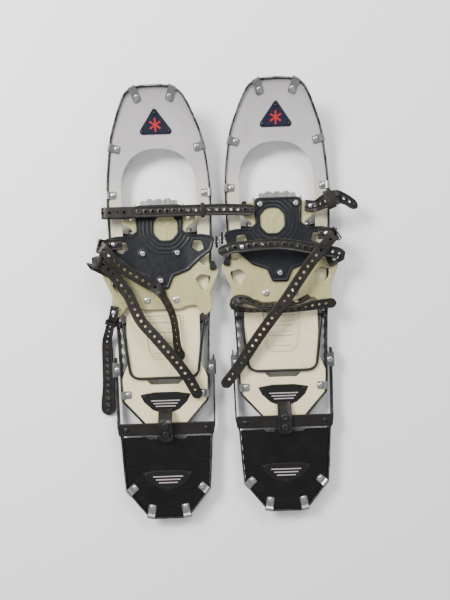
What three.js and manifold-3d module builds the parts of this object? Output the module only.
// A pair of metal-framed mountain snowshoes with clip-on flotation tails, lying side by side.
// Millimetres, +Z up, toes toward +Y. Each shoe is drawn about its own centre line (x = 0),
// with z = 0 at the tips of its frame teeth; the pair is then centred on its box.

import * as THREE from "three";
import { mergeVertices } from "three/addons/utils/BufferGeometryUtils.js";
import Module from "manifold-3d";

const wasm = await Module();
wasm.setup();

// ---------- Driving dimensions ----------

const PAIR_SPACING = 213.3;          // centre line of one shoe to the other
const LEFT_SETBACK = 6.7;            // the left shoe lies this much further back
const CONTACT_GAP = 0.3;             // clearance between pieces that rest on each other

const BLADE = 3;                     // thickness of the toothed frame blades
const FRAME_TOP = 27;
const TOOTH_DEPTH = 8;
const TOOTH_PITCH = 18;
const TOOTH_TIP = 3;
const TEETH_BACK = -170;             // the row of teeth runs from here
const TEETH_FRONT = 208;             // to here
const NOSE_START = 215;              // the nose curls up forward of this y
const NOSE_RADIUS = 294;
const NOSE_STRIP = 22;               // height of the frame blade around the nose

const DECK_BOTTOM = 22;
const DECK_TOP = 23.8;
const DECK_INSET = BLADE + 0.5;

const PIVOT_Y = 132;                 // toe-cord axle of the binding
const PIVOT_Z = 22;
const AXLE_RADIUS = 3.5;
const AXLE_HOLE = 3.8;
const BAIL_Y = -32;                  // hinge of the wire heel lifter
const BAIL_Z = 22;
const BAIL_RADIUS = 2.5;
const BAIL_HOLE = 2.9;

const FLAT_HALF = 45;                // the harness is flat to here, then its wings rise
const WING_SLOPE = 0.1446;
const BASE_BOTTOM = 28.6;
const BASE_TOP = 31.4;
const PLATE_BOTTOM = 31.7;
const PLATE_TOP = 35.2;

const STRAP_WIDTH = 20;
const STRAP_THICKNESS = 3;

const TAIL_TOP = 27;
const BAND_BOTTOM = 27.6;
const BAND_TOP = 30.2;

const SIDES = 10;                    // facets of small round pieces
const ARC_STEP = 0.85;               // largest turn of one facet in a rounded corner, radians
const REACH = 500;                   // longer than the object, for cutting slabs
const FRONT_END = 390;               // just past the nose
const REAR_END = -400;               // just past the tail
const CUT_LOW = -10;                 // cutting prisms stand from here
const CUT_HIGH = 120;                // to here, clear of everything

// ---------- Materials ----------

const finish = (color, roughness, metalness = 0) =>
  new THREE.MeshStandardMaterial({ color, roughness, metalness });

const MATERIALS = {
  frame: finish(0x22221f, 0.4, 0.6),
  deck: finish(0xd3cdc0, 0.3),
  tailDeck: finish(0x1b1b1c, 0.35),
  pad: finish(0xd9cfae, 0.35),
  harness: finish(0xb4af87, 0.45),
  plate: finish(0x1e2024, 0.55),
  strap: finish(0x2d2a26, 0.6),
  steel: finish(0xa09b96, 0.35, 0.9),
  badge: finish(0x1e2032, 0.3),
};

// ---------- Outlines ----------

/** Half outline, nose to tail with x >= 0, closed by its mirror image. */
function mirrored(half) {
  const other = half.filter(([x]) => x > 0).map(([x, ...rest]) => [-x, ...rest]);
  return [...half, ...other.reverse()];
}

/** The same points with x times side, for pieces that exist once per side. */
function onSide(points, side) {
  return points.map(([x, ...rest]) => [x * side, ...rest]);
}

/** Corners given as [x, y, radius] become arcs; the outline is closed. */
function rounded(points) {
  const count = points.length;
  return points.flatMap(([x, y, radius = 0], i) => {
    if (radius === 0) return [[x, y]];
    const corner = new THREE.Vector2(x, y);
    const toward = (j) => {
      const [px, py] = points[(j + count) % count];
      return new THREE.Vector2(px, py).sub(corner).normalize();
    };
    const before = toward(i - 1);
    const after = toward(i + 1);
    const half = Math.acos(THREE.MathUtils.clamp(before.dot(after), -1, 1)) / 2;
    const centre = before.clone().add(after).normalize().multiplyScalar(radius / Math.sin(half));
    centre.add(corner);
    const start = before.multiplyScalar(radius / Math.tan(half)).add(corner).sub(centre).angle();
    const end = after.multiplyScalar(radius / Math.tan(half)).add(corner).sub(centre).angle();
    const turn = THREE.MathUtils.euclideanModulo(end - start + Math.PI, 2 * Math.PI) - Math.PI;
    const steps = Math.max(1, Math.ceil(Math.abs(turn) / ARC_STEP));
    return Array.from({ length: steps + 1 }, (_, k) => {
      const angle = start + (turn * k) / steps;
      return [centre.x + radius * Math.cos(angle), centre.y + radius * Math.sin(angle)];
    });
  });
}

/** Smooth open run through the given points. */
function smooth(points, samples) {
  const curve = new THREE.SplineCurve(points.map(([x, y]) => new THREE.Vector2(x, y)));
  return curve.getPoints(samples).map(({ x, y }) => [x, y]);
}

/** A closed outline moved inward by a distance. */
function inset(points, distance) {
  const ring = points.map(([x, y]) => new THREE.Vector2(x, y));
  const inward = THREE.ShapeUtils.area(ring) > 0 ? 1 : -1;
  const count = ring.length;
  const normal = (a, b) => new THREE.Vector2(a.y - b.y, b.x - a.x).normalize();
  return ring.map((point, i) => {
    const first = normal(ring[(i + count - 1) % count], point);
    const second = normal(point, ring[(i + 1) % count]);
    const scale = (inward * distance) / (1 + first.dot(second));
    return [point.x + (first.x + second.x) * scale, point.y + (first.y + second.y) * scale];
  });
}

const rectangle = (x0, y0, x1, y1) => [[x0, y0], [x1, y0], [x1, y1], [x0, y1]];

// ---------- Solids ----------

function extruded(points, depth) {
  const shape = new THREE.Shape(points.map(([x, y]) => new THREE.Vector2(x, y)));
  return new THREE.ExtrudeGeometry(shape, { depth, bevelEnabled: false });
}

function solidOf(geometry) {
  const bare = geometry.clone();
  bare.deleteAttribute("normal");
  bare.deleteAttribute("uv");
  const merged = mergeVertices(bare, 1e-4);
  const vertProperties = new Float32Array(merged.attributes.position.array);
  const triVerts = new Uint32Array(merged.index.array);
  return new wasm.Manifold(new wasm.Mesh({ numProp: 3, vertProperties, triVerts }));
}

function geometryOf(solid) {
  const mesh = solid.getMesh();
  const geometry = new THREE.BufferGeometry();
  geometry.setAttribute("position", new THREE.BufferAttribute(mesh.vertProperties, 3));
  geometry.setIndex(new THREE.BufferAttribute(mesh.triVerts, 1));
  geometry.computeVertexNormals();
  return geometry;
}

/** Outline in plan (x, y), standing from z0 to z1. */
function prism(points, z0, z1) {
  return solidOf(extruded(points, z1 - z0).translate(0, 0, z0));
}

/** Outline in side view (y, z), running across from x0 to x1. */
function acrossX(points, x0 = -REACH, x1 = REACH) {
  const turn = new THREE.Matrix4().makeBasis(
    new THREE.Vector3(0, 1, 0), new THREE.Vector3(0, 0, 1), new THREE.Vector3(1, 0, 0));
  return solidOf(extruded(points, x1 - x0).applyMatrix4(turn).translate(x0, 0, 0));
}

/** Outline in front view (x, z), running along from y0 to y1. */
function alongY(points, y0 = -REACH, y1 = REACH) {
  const turn = new THREE.Matrix4().makeBasis(
    new THREE.Vector3(1, 0, 0), new THREE.Vector3(0, 0, 1), new THREE.Vector3(0, -1, 0));
  return solidOf(extruded(points, y1 - y0).applyMatrix4(turn).translate(0, y1, 0));
}

function box(x0, x1, y0, y1, z0, z1) {
  return prism(rectangle(x0, y0, x1, y1), z0, z1);
}

/** Outline in plan, tall enough to cut through anything. */
function through(points) {
  return prism(points, CUT_LOW, CUT_HIGH);
}

/** A range of x on one side of the shoe, low end first. */
function rangeOn(side, inner, outer) {
  return side > 0 ? [inner, outer] : [-outer, -inner];
}

/** Round pin across the shoe. */
function pinAcross(radius, x0, x1, y, z) {
  const pin = new THREE.CylinderGeometry(radius, radius, x1 - x0, SIDES);
  return solidOf(pin.rotateZ(Math.PI / 2).translate((x0 + x1) / 2, y, z));
}

/** Round stud standing on its end. */
function studUp(radius, x, y, z0, z1) {
  const stud = new THREE.CylinderGeometry(radius, radius, z1 - z0, SIDES);
  return solidOf(stud.rotateX(Math.PI / 2).translate(x, y, (z0 + z1) / 2));
}

const joined = (solids) => solids.reduce((whole, piece) => whole.add(piece));

// ---------- Shared profiles ----------

/** How far the deck line has risen at y, because of the curled nose. */
function noseRise(y) {
  const ahead = Math.max(0, y - NOSE_START);
  return NOSE_RADIUS - Math.sqrt(NOSE_RADIUS ** 2 - ahead ** 2);
}

/** Points along the deck line at height z, from y0 to y1. */
function deckLine(z, y0, y1) {
  const steps = 8;
  const curl = Array.from({ length: steps }, (_, k) => {
    const y = NOSE_START + ((y1 - NOSE_START) * (k + 1)) / steps;
    return [y, z + noseRise(y)];
  });
  return [[y0, z], [NOSE_START, z], ...curl];
}

/** Slab between two heights that follows the deck line. */
function deckBand(low, high) {
  const lower = deckLine(low, REAR_END, FRONT_END);
  const upper = deckLine(high, REAR_END, FRONT_END);
  return acrossX([...lower, ...upper.reverse()]);
}

/** Slab between two heights that follows the rising wings of the harness. */
function wingBand(low, high) {
  const edge = 120;
  const lift = (edge - FLAT_HALF) * WING_SLOPE;
  const line = (z) => [[-edge, z + lift], [-FLAT_HALF, z], [FLAT_HALF, z], [edge, z + lift]];
  return alongY([...line(low), ...line(high).reverse()]);
}

/** Row of flat-tipped teeth from start toward end, as profile points. */
function teeth(start, end, pitch, root, tip, tipWidth = TOOTH_TIP) {
  const count = Math.round(Math.abs(end - start) / pitch);
  const step = (end - start) / count;
  const flat = (Math.sign(step) * tipWidth) / 2;
  const points = [[start, root]];
  for (let i = 0; i < count; i += 1) {
    const middle = start + step * (i + 0.5);
    points.push([middle - flat, tip], [middle + flat, tip], [start + step * (i + 1), root]);
  }
  return points;
}

// ---------- Frame and deck ----------

const SIDE_RUN = [
  [0, 380], [26, 378.6], [46, 371.5], [59, 355], [72.2, 327.4], [82.6, 298.8], [89.6, 258],
  [93.6, 216], [94, 160], [90, 72], [83, -57], [80, -150],
];
const FRAME_HALF = [...smooth(SIDE_RUN, 25), [78.3, -171, 12], [28, -227, 10]];
const FRAME_OUTLINE = rounded(mirrored(FRAME_HALF));

/** Deck clips along one side: [x, y, direction of the inward normal in degrees]. */
const CLIP_WIDTH = 13.8;
const CLIP_INNER = 5.5;              // from the rivet to the clip's free end
const CLIP_OUTER = 25;               // past the frame, where the outline trims it
const CLIP_TOP = 1.8;                // above the deck
const CLIPS = [
  [28.6, 361, -112], [71.5, 282, -163], [82, 202, 180], [80, 58, 177], [73, 0, 177], [66.6, -159, 179],
];

/** A plan rectangle that runs inward from the wall past a rivet at (x, y). */
function clipPlan(x, y, degrees) {
  const angle = THREE.MathUtils.degToRad(degrees);
  const along = new THREE.Vector2(Math.cos(angle), Math.sin(angle));
  const across = new THREE.Vector2(-along.y, along.x).multiplyScalar(CLIP_WIDTH / 2);
  const corner = (distance, side) => [
    x + along.x * distance + across.x * side,
    y + along.y * distance + across.y * side,
  ];
  return [
    corner(-CLIP_OUTER, -1), corner(CLIP_INNER, -1), corner(CLIP_INNER, 1), corner(-CLIP_OUTER, 1),
  ];
}

function deckClip(x, y, degrees) {
  const tab = through(clipPlan(x, y, degrees));
  return tab.intersect(deckBand(DECK_TOP + CONTACT_GAP, DECK_TOP + CLIP_TOP));
}

function frameSolid() {
  const block = through(FRAME_OUTLINE);
  const ring = block.subtract(prism(inset(FRAME_OUTLINE, BLADE), CUT_LOW - 1, CUT_HIGH + 1));
  const noseRoot = FRAME_TOP - NOSE_STRIP;
  const profile = [
    [REAR_END, TOOTH_DEPTH],
    ...teeth(TEETH_BACK, TEETH_FRONT, TOOTH_PITCH, TOOTH_DEPTH, 0),
    ...deckLine(noseRoot, NOSE_START, FRONT_END).slice(1),
    ...deckLine(FRAME_TOP, REAR_END, FRONT_END).reverse(),
  ];
  const clips = CLIPS.flatMap(([x, y, degrees]) => [
    deckClip(x, y, degrees), deckClip(-x, y, 180 - degrees),
  ]);
  return joined([ring.intersect(acrossX(profile)), joined(clips).intersect(block)]);
}

/** Toe opening: an arch in front, straight sides, and a narrower bay for the claws. */
function toeOpening() {
  const halfWidth = 67.5;
  const archLength = 75.6;
  const archCentre = 206;
  const fullness = 2.4;                // 2 would be an ellipse
  const steps = 9;
  const arch = Array.from({ length: steps + 1 }, (_, k) => {
    const angle = (Math.PI / 2) * (1 - k / steps);
    return [
      halfWidth * Math.cos(angle) ** (2 / fullness),
      archCentre + archLength * Math.sin(angle) ** (2 / fullness),
    ];
  });
  arch[0][0] = 0;
  return rounded(mirrored([...arch, [halfWidth, 126, 6], [54, 112, 6], [54, 66, 8]]));
}

// The sheet is kept as two solids that meet along the front edge of the hand slot.
const SLOT_FRONT = -130;
const SLOT_BACK = -142;
const HAND_SLOT = rounded(mirrored([[38, SLOT_FRONT], [25, SLOT_BACK, 4]]));
const SIDE_CUT = [[66, -18], [90, -10], [90, -128], [73, -120], [66, -105]];

/** The deck sheet between two values of y. */
function deckSolid(back, front) {
  const sheet = deckBand(DECK_BOTTOM, DECK_TOP).intersect(through(inset(FRAME_OUTLINE, DECK_INSET)));
  const length = through(rectangle(-REACH, back, REACH, front));
  const cuts = [toeOpening(), HAND_SLOT, SIDE_CUT, onSide(SIDE_CUT, -1)].map(through);
  return cuts.reduce((deck, cut) => deck.subtract(cut), sheet.intersect(length));
}

const PAD_HALF = [[34, -14, 6], [37, -24, 4], [30, -82, 5], [19.5, -96, 5]];
const PAD_THICKNESS = 1;
const PAD_BARS = [[-27, 25], [-45, 25], [-64, 24], [-82.5, 17]];   // [y, half length]
const PAD_BAR_HALF = 3;
const PAD_BAR_LIFT = 0.8;

function heelPadSolid() {
  const bottom = DECK_TOP + CONTACT_GAP;
  const top = bottom + PAD_THICKNESS;
  const bars = PAD_BARS.map(([y, half]) => {
    const ends = PAD_BAR_HALF - 0.1;
    const barHalf = [[half, y - PAD_BAR_HALF, ends], [half, y + PAD_BAR_HALF, ends]];
    return prism(rounded(mirrored(barHalf)), bottom, top + PAD_BAR_LIFT);
  });
  return joined([prism(rounded(mirrored(PAD_HALF)), bottom, top), ...bars]);
}

// ---------- Crossmembers, axle, lifter ----------

/** Toothed blade across the shoe at y, teeth down, with its top at the given height. */
function crossBlade(y, halfLength, top) {
  const half = BLADE / 2;
  const profile = [
    ...teeth(-halfLength, halfLength, TOOTH_PITCH, TOOTH_DEPTH - 2, 0),
    [halfLength, top], [-halfLength, top],
  ];
  return alongY(profile, y - half, y + half);
}

function frontCrossmember() {
  const brackets = [-1, 1].map((side) => {
    const plate = acrossX(rounded([
      [PIVOT_Y - 7, 4], [PIVOT_Y + 7, 4], [PIVOT_Y + 7, 29, 5], [PIVOT_Y - 7, 29, 5],
    ]), ...rangeOn(side, 54, 57));
    return plate.subtract(pinAcross(AXLE_HOLE, ...rangeOn(side, 53, 58), PIVOT_Y, PIVOT_Z));
  });
  return joined([crossBlade(PIVOT_Y, 89.2, 13), ...brackets]);
}

function rearCrossmember() {
  const lugs = [-1, 1].map((side) => {
    const lug = acrossX(rounded([
      [BAIL_Y - 6, 12], [BAIL_Y + 6, 12], [BAIL_Y + 6, 28, 4], [BAIL_Y - 6, 28, 4],
    ]), ...rangeOn(side, 76, 80));
    return lug.subtract(pinAcross(BAIL_HOLE, ...rangeOn(side, 75, 81), BAIL_Y, BAIL_Z));
  });
  return joined([crossBlade(BAIL_Y, 81.2, 18), ...lugs]);
}

/** Wire bail, from one hinge stub around the heel to the other. */
const BAIL_HALF_ROUTE = [
  [0, -130, 27], [30, -130, 27], [46, -129.6, 27], [55, -126.5, 27], [61.5, -118, 27], [64, -105, 27],
  [68.7, -62, 26.8], [71, -46, 24.6], [72.6, BAIL_Y, BAIL_Z],
];

function heelLifter() {
  const route = mirrored(BAIL_HALF_ROUTE);
  const start = BAIL_HALF_ROUTE.length;
  const open = [...route.slice(start), ...route.slice(0, start)];
  const points = open.map((point) => new THREE.Vector3(...point));
  const path = new THREE.CatmullRomCurve3(points, false, "centripetal");
  const sides = 8;
  const section = new THREE.Shape(Array.from({ length: sides }, (_, k) => {
    const angle = (2 * Math.PI * k) / sides;
    return new THREE.Vector2(BAIL_RADIUS * Math.cos(angle), BAIL_RADIUS * Math.sin(angle));
  }));
  const wire = new THREE.ExtrudeGeometry(section, { steps: 34, bevelEnabled: false, extrudePath: path });
  const stubs = [-1, 1].map((side) =>
    pinAcross(BAIL_RADIUS, ...rangeOn(side, 70.4, 80.6), BAIL_Y, BAIL_Z));
  return joined([solidOf(wire), ...stubs]);
}

// ---------- Binding ----------

const CRAMPON_HALF = [[42, 184], [42, 142], [49, 142], [49, 122], [42, 122], [42, 4, 8]];
const CRAMPON_SHEET = 2;
const LIP_HALF = [[30, 183], [32, 187, 3], [26, 190, 3], [22, 193.5, 3], [15, 190, 3], [7, 191, 3]];
const LIP_DEPTH = 4;
const CLAW_X = 22;
const CLAW_TIP_Z = 2;
const FLANGE_ROOT = 15;
const FLANGE_TIP = 3;
const FLANGES = [[160, 184, 12], [72, 106, 11.3]];   // [back, front, tooth pitch]

function crampon() {
  const high = BASE_BOTTOM - CONTACT_GAP;
  const pieces = [
    prism(rounded(mirrored(CRAMPON_HALF)), high - CRAMPON_SHEET, high),
    prism(rounded(mirrored(LIP_HALF)), high - LIP_DEPTH, high),
  ];
  for (const side of [-1, 1]) {
    pieces.push(acrossX(rounded([
      [PIVOT_Y - 7, 15, 5], [PIVOT_Y + 7, 15, 5], [PIVOT_Y + 7, high], [PIVOT_Y - 7, high],
    ]), ...rangeOn(side, 46.5, 49)));
    for (const [back, front, pitch] of FLANGES) {
      const row = teeth(back, front, pitch, FLANGE_ROOT, FLANGE_TIP, 2);
      pieces.push(acrossX([...row, [front, high], [back, high]], ...rangeOn(side, 41.8, 44)));
    }
    const claw = [
      [CLAW_X - 8, high - 3], [CLAW_X - 2, CLAW_TIP_Z], [CLAW_X + 2, CLAW_TIP_Z], [CLAW_X + 8, high - 3],
    ];
    pieces.push(alongY(onSide(claw, side), 186.5, 189));
  }
  const hole = pinAcross(AXLE_HOLE, -52, 52, PIVOT_Y, PIVOT_Z);
  return joined(pieces).subtract(hole);
}

const BASE_HALF = [
  [30, 180, 4], [46, 175, 5], [62, 172.5, 4], [65.4, 166], [65, 150, 4], [48, 136, 5], [48, 84, 4],
  [69, 77.7, 5], [77, 69, 4], [91.6, 73.7, 4], [104, 61, 5], [102, 52.5], [88, 20.6, 10],
  [90.5, -8.5, 5], [78, -20, 4], [60, 0, 5], [41, -2.7], [34.5, -7],
];
const WING_HOLE = [
  [62, 46, 3], [71.6, 54, 3], [89.5, 49.6, 3], [84.7, 35], [77.8, 26, 3], [71.5, 26.6, 3],
];
const ARM_HOLE = [[48, 167, 2], [59, 165, 2], [50, 150, 2]];
const BASE_SCREWS = [[26, 10], [-26, 10]];
const BASE_SCREW_RADIUS = 6;
const PLATE_SCREW_RADIUS = 4.8;
const SCREW_HEAD = 2.6;              // height of every screw head

/** Screw heads standing on a surface. */
function screwHeads(places, radius, surface) {
  return places.map(([x, y]) => studUp(radius, x, y, surface - 1, surface + SCREW_HEAD));
}

function harnessBase() {
  const holes = [WING_HOLE, onSide(WING_HOLE, -1), ARM_HOLE, onSide(ARM_HOLE, -1)];
  const sheet = through(rounded(mirrored(BASE_HALF))).intersect(wingBand(BASE_BOTTOM, BASE_TOP));
  const base = holes.reduce((solid, hole) => solid.subtract(through(rounded(hole))), sheet);
  return joined([base, ...screwHeads(BASE_SCREWS, BASE_SCREW_RADIUS, BASE_TOP)]);
}

const PLATE_HALF = [
  [38, 181, 8], [43, 174], [41, 135, 5], [52, 127, 5], [77, 126], [95, 122, 4], [98, 113, 3],
  [92, 95, 5], [71, 81, 6], [50, 62, 6], [23, 52, 6], [14, 30, 5],
];
const PLATE_HOLE = [[60, 116, 4], [75, 114, 4], [78, 100, 4], [68, 95, 4], [57, 103, 4]];
const PLATE_SCREWS = [[32, 169], [-32, 169], [31, 94], [-31, 94], [0, 45]];
const WINDOW_HALF = [[9.7, 163, 11], [21.5, 150.4, 11], [21.5, 129.6, 11], [9.7, 117, 11]];
const WINDOW_SHIFT = 10.8;           // the sole window sits toward the other shoe

function toePlate(medial) {
  const sole = mirrored(WINDOW_HALF).map(([x, y, radius]) => [x + medial * WINDOW_SHIFT, y, radius]);
  const holes = [sole, PLATE_HOLE, onSide(PLATE_HOLE, -1)];
  const sheet = through(rounded(mirrored(PLATE_HALF))).intersect(wingBand(PLATE_BOTTOM, PLATE_TOP));
  const plate = holes.reduce((solid, hole) => solid.subtract(through(rounded(hole))), sheet);
  return joined([plate, ...screwHeads(PLATE_SCREWS, PLATE_SCREW_RADIUS, PLATE_TOP)]);
}

/** Buckles stand on the medial side, where the straps are pinned. */
function buckles(medial) {
  const resting = (plan) => through(rounded(onSide(plan, medial)));
  const toe = resting([[56, 158, 3], [65.2, 160, 3], [65.2, 174, 3], [56, 176, 3]]);
  const instep = resting([[88, 60, 3], [102, 62, 3], [97, 76, 3], [88, 78, 3]]);
  const forefoot = resting([[99.6, 100, 1.5], [103.6, 100, 1.5], [103.6, 120, 1.5], [99.6, 120, 1.5]]);
  const pin = pinAcross(2, ...rangeOn(medial, 103, 106), 110, 41);
  return {
    toe_buckle: toe.intersect(wingBand(BASE_TOP + CONTACT_GAP, BASE_TOP + 4.5)),
    instep_buckle: instep.intersect(wingBand(BASE_TOP + CONTACT_GAP, BASE_TOP + 4)),
    forefoot_buckle: forefoot.intersect(box(-REACH, REACH, -REACH, REACH, 32, 50)).add(pin),
  };
}

// ---------- Straps ----------

/** Directions across a strap, in plan: square to its run, steady where it folds back or climbs. */
function acrossHeadings(route) {
  const steep = 0.5;
  let last = null;
  const headings = route.map((point, i) => {
    const before = new THREE.Vector3(...route[Math.max(0, i - 1)].slice(0, 3));
    const after = new THREE.Vector3(...route[Math.min(route.length - 1, i + 1)].slice(0, 3));
    const run = after.sub(before);
    if (Math.hypot(run.x, run.y) < steep * run.length()) return last;
    let heading = Math.atan2(run.y, run.x) + Math.PI / 2;
    if (last !== null) heading -= Math.PI * Math.round((heading - last) / Math.PI);
    last = heading;
    return heading;
  });
  const first = headings.find((heading) => heading !== null);
  return headings.map((heading) => heading ?? first);
}

/** Flat strap through hand-laid points [x, y, z, sideways tilt in degrees, width]. */
function strap(route) {
  const headings = acrossHeadings(route);
  const path = new THREE.CatmullRomCurve3(
    route.map(([x, y, z]) => new THREE.Vector3(x, y, z)), false, "centripetal");
  const perSpan = 2;
  const spans = route.length - 1;
  const stations = spans * perSpan + 1;
  const blend = (list, at) => {
    const i = Math.min(spans - 1, Math.floor(at));
    return THREE.MathUtils.lerp(list[i], list[i + 1], at - i);
  };
  const tilts = route.map(([, , , tilt = 0]) => THREE.MathUtils.degToRad(tilt));
  const widths = route.map(([, , , , width = STRAP_WIDTH]) => width);
  const positions = [];
  for (let s = 0; s < stations; s += 1) {
    const at = s / perSpan;
    const centre = path.getPoint(s / (stations - 1));
    const tangent = path.getTangent(s / (stations - 1));
    const heading = blend(headings, at);
    const tilt = blend(tilts, at);
    const across = new THREE.Vector3(
      Math.cos(heading) * Math.cos(tilt), Math.sin(heading) * Math.cos(tilt), Math.sin(tilt));
    across.addScaledVector(tangent, -across.dot(tangent)).normalize();
    const face = tangent.clone().cross(across);
    for (const [u, v] of [[-1, -1], [1, -1], [1, 1], [-1, 1]]) {
      const corner = centre.clone().addScaledVector(across, (u * blend(widths, at)) / 2);
      corner.addScaledVector(face, (v * STRAP_THICKNESS) / 2);
      positions.push(corner.x, corner.y, corner.z);
    }
  }
  const index = [0, 3, 2, 0, 2, 1];
  for (let s = 0; s < stations - 1; s += 1) {
    for (let k = 0; k < 4; k += 1) {
      const a = s * 4 + k;
      const b = s * 4 + ((k + 1) % 4);
      index.push(a, b, b + 4, a, b + 4, a + 4);
    }
  }
  const last = (stations - 1) * 4;
  index.push(last, last + 1, last + 2, last, last + 2, last + 3);
  const geometry = new THREE.BufferGeometry();
  geometry.setAttribute("position", new THREE.Float32BufferAttribute(positions, 3));
  geometry.setIndex(index);
  geometry.computeVertexNormals();
  return geometry;
}

const STRAP_ROUTES = {
  left: {
    toe_strap: [
      [-48, 167, 36.5], [-75, 167, 37], [-95, 167, 38], [-100, 167, 42], [-95, 167, 46],
      [-75, 167, 46.5], [-40, 167, 46], [0, 167, 45], [60, 167, 45.5], [120, 167, 44],
      [140, 166, 43], [160, 165, 42], [173, 164.5, 41],
    ],
    forefoot_strap: [
      [-66, 112, 41], [-85, 111, 44], [-98, 110, 46], [-104, 109, 50], [-100, 106, 56],
      [-90, 95, 57], [-73, 75, 54], [-48, 57, 48.5], [-23, 41, 44], [-5, 30, 42, 20],
      [6, 12, 41, 60], [15, -6, 41, 60], [21, -24, 41, 60], [24, -47, 40, 60],
      [26, -74, 38, 55], [34, -97, 35, 40],
    ],
    instep_strap: [
      [-84, 60, 40], [-100, 68, 43], [-113, 75, 46], [-120, 78, 49], [-114, 80, 52],
      [-105, 81, 53], [-90, 67.7, 51], [-76.7, 50.4, 48], [-64, 31, 46], [-57, 21, 45.5],
      [-37, -24, 46], [-9.6, -57, 49], [18, -91, 50], [42, -126, 44], [59, -161, 33], [62, -167, 31.5],
    ],
    heel_strap: [
      [-83, 2, 40, 0, 15], [-86, -14, 39.5, 0, 15], [-93, -30, 31, 0, 15], [-99, -45, 20, 0, 16],
      [-105, -61, 9, 0, 18], [-106, -80, 4.5, 0, 20], [-106, -145, 4, 0, 22], [-107.4, -175, 4, 0, 26],
      [-107.4, -198, 4, 0, 27],
    ],
  },
  right: {
    toe_strap: [
      [48, 164, 36], [66, 162, 40], [78, 166, 54, 0, 24], [90, 170, 60, 0, 28], [102, 174, 52, 0, 26],
      [108, 176, 42, 0, 22], [125, 169, 38, 0, 18], [141, 156, 36, 0, 17],
    ],
    forefoot_strap: [
      [68, 112, 41.5], [84, 112, 44.5], [98, 110.5, 50], [97, 109, 57], [90, 104, 61], [75, 87, 62],
      [56, 66.5, 60], [30, 31, 57], [6.9, -1.8, 56], [-20, -36, 52], [-44, -68, 45], [-64, -97, 39],
      [-83, -124, 37], [-103, -149, 34], [-108, -156, 33],
    ],
    instep_strap: [
      [84, 62, 40], [98, 68, 43], [106, 72, 48], [100, 76, 52], [80, 80, 53], [55, 85, 54],
      [8.8, 93.7, 57], [-33.5, 94.5, 56], [-70, 92, 51], [-85, 91, 48.5], [-105, 84, 46], [-108, 82, 45],
    ],
    heel_strap: [
      [50, 2, 42, 70, 18], [23.6, -9, 42, 70, 18], [-20, -13, 42, 70, 18], [-45, -9, 42, 60, 18],
      [-64, 0, 43, 40, 18], [-79, -1, 44, 20, 18], [-84, -8, 46, 0, 18], [-78, -15, 46, 50, 18],
      [-64, -18.5, 43.5, 65, 18], [-32, -20.5, 42, 70, 18], [0, -22, 42, 70, 18], [25, -20, 42, 60, 18],
      [60, -14, 44, 20, 18], [80, -12, 44, 20, 18], [96.6, -11, 45, 15, 18],
    ],
  },
};

const TAIL_STRAP_WIDTH = 25;
const TAIL_STRAP_ROUTES = {
  left: [[0, -186, 27.4], [0, -196, 38], [0, -208, 46], [0, -220, 42], [0, -229, 36], [0, -243, 33.2]],
  right: [[0, -186, 27.4], [0, -200, 30.5], [0, -215, 33.5], [0, -232, 33.2], [0, -243, 32.4]],
};

// ---------- Flotation tail ----------

const TAIL_ARM = 90.5;               // half width where the arms end
const ARM_LOW = 6;
const ARM_HIGH = 24;
const TAIL_HALF = [
  [TAIL_ARM, -92], [89.5, -165], [88.5, -218, 8], [83, -236, 20], [79, -300], [76.5, -331, 15],
  [34, -383.4, 18],
];
const TAIL_FRONT = -236;

/** An open blade: two arms beside the shoe and a toothed wall around the tail. */
function tailFrame() {
  const outer = rounded(mirrored(TAIL_HALF));
  const inner = inset([...outer, [-TAIL_ARM, 0], [TAIL_ARM, 0]], BLADE).slice(0, outer.length);
  const wall = through([...outer, ...inner.reverse()]);
  const profile = [
    [REAR_END, 0], ...teeth(-378, TAIL_FRONT, TOOTH_PITCH, TOOTH_DEPTH, 0),
    [-200, ARM_LOW], [-80, ARM_LOW], [-80, ARM_HIGH], [-200, ARM_HIGH],
    [-206, TAIL_TOP], [REAR_END, TAIL_TOP],
  ];
  return wall.intersect(acrossX(profile));
}

function tailDeck() {
  const gap = [[15, TAIL_FRONT], [20, TAIL_FRONT - 5], [32, TAIL_FRONT - 5], [37, TAIL_FRONT]];
  const half = [...gap, [79, TAIL_FRONT], [75, -300], [72.5, -329.5, 12], [32.4, -379.2, 15]];
  return prism(rounded(mirrored(half)), DECK_BOTTOM, DECK_TOP);
}

function tailBand() {
  const plan = rounded(mirrored([[88, -210, 4], [86, -232, 4]]));
  const rivets = [-72, 72].map((x) => studUp(4.5, x, -221, BAND_TOP - 1, BAND_TOP + 1.6));
  return joined([prism(plan, BAND_BOTTOM, BAND_TOP), ...rivets]);
}

/** A folded sheet that rests on the shoe's frame and hangs outside the tail's arm. */
function tailHook(side) {
  const low = FRAME_TOP + 1;
  const high = low + 2;
  const plate = box(...rangeOn(side, 78, 93), -126, -99, low, high);
  const leg = box(...rangeOn(side, 91, 93), -126, -99, 10, high);
  return plate.add(leg);
}

// ---------- Badges ----------

const BADGE_TOP = 1.5;               // above the deck
const TRIANGLE_BADGE = [[0, 348.3, 4], [-33.5, 305.2, 5], [33.5, 305.2, 5]];
const FAN_BADGE_HALF = [[20, -155.4], [45.5, -159.6, 1.5], [39, -173, 5], [24, -187, 6], [8, -193]];
const SHIELD_BADGE_HALF = [[24, -297], [46, -300.5, 1.5], [42.5, -308, 3], [30, -322, 8], [0, -336, 8]];

/** A badge plate that lies on the deck, curled with it. */
function badge(plan) {
  return through(rounded(plan)).intersect(deckBand(DECK_TOP + CONTACT_GAP, DECK_TOP + BADGE_TOP));
}

// ---------- Assembly ----------

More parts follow.
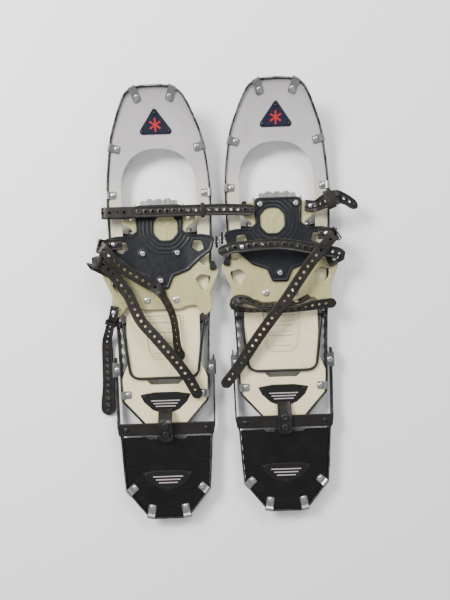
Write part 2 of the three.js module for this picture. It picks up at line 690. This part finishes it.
function snowshoe(name) {
  const medial = name === "left" ? 1 : -1;
  const shoe = new THREE.Group();
  const add = (piece, solid, material) => {
    const geometry = solid.isBufferGeometry ? solid : geometryOf(solid);
    const mesh = new THREE.Mesh(geometry, material);
    mesh.name = `${name}_${piece}`;
    shoe.add(mesh);
  };
  add("frame", frameSolid(), MATERIALS.frame);
  add("front_crossmember", frontCrossmember(), MATERIALS.frame);
  add("rear_crossmember", rearCrossmember(), MATERIALS.frame);
  add("deck", deckSolid(SLOT_FRONT + CONTACT_GAP / 2, FRONT_END), MATERIALS.deck);
  add("heel_deck", deckSolid(REAR_END, SLOT_FRONT - CONTACT_GAP / 2), MATERIALS.deck);
  add("heel_pad", heelPadSolid(), MATERIALS.pad);
  add("heel_lifter", heelLifter(), MATERIALS.frame);

  add("pivot_axle", pinAcross(AXLE_RADIUS, -58, 58, PIVOT_Y, PIVOT_Z), MATERIALS.steel);
  add("crampon", crampon(), MATERIALS.steel);
  add("harness_base", harnessBase(), MATERIALS.harness);
  add("toe_plate", toePlate(medial), MATERIALS.plate);
  for (const [piece, solid] of Object.entries(buckles(medial))) {
    add(piece, solid, MATERIALS.plate);
  }
  for (const [piece, route] of Object.entries(STRAP_ROUTES[name])) {
    add(piece, strap(route), MATERIALS.strap);
  }

  add("tail_frame", tailFrame(), MATERIALS.frame);
  add("tail_deck", tailDeck(), MATERIALS.tailDeck);
  add("tail_band", tailBand(), MATERIALS.plate);
  add("tail_hook_left", tailHook(-1), MATERIALS.frame);
  add("tail_hook_right", tailHook(1), MATERIALS.frame);
  const tailRoute = TAIL_STRAP_ROUTES[name].map((point) => [...point, 0, TAIL_STRAP_WIDTH]);
  add("tail_strap", strap(tailRoute), MATERIALS.strap);

  add("front_badge", badge(TRIANGLE_BADGE), MATERIALS.badge);
  add("heel_badge", badge(mirrored(FAN_BADGE_HALF)), MATERIALS.badge);
  add("tail_badge", badge(mirrored(SHIELD_BADGE_HALF)), MATERIALS.badge);
  return shoe;
}

const snowshoes = new THREE.Group();
const leftShoe = snowshoe("left");
const rightShoe = snowshoe("right");
leftShoe.position.set(-PAIR_SPACING / 2, -LEFT_SETBACK, 0);
rightShoe.position.set(PAIR_SPACING / 2, 0, 0);
snowshoes.add(leftShoe, rightShoe);

// Centre the pair on its box, with the lowest tooth tip on z = 0.
snowshoes.updateMatrixWorld(true);
const extent = new THREE.Box3().setFromObject(snowshoes, true);
const middle = extent.getCenter(new THREE.Vector3());
snowshoes.position.set(-middle.x, -middle.y, -extent.min.z);

export default snowshoes;
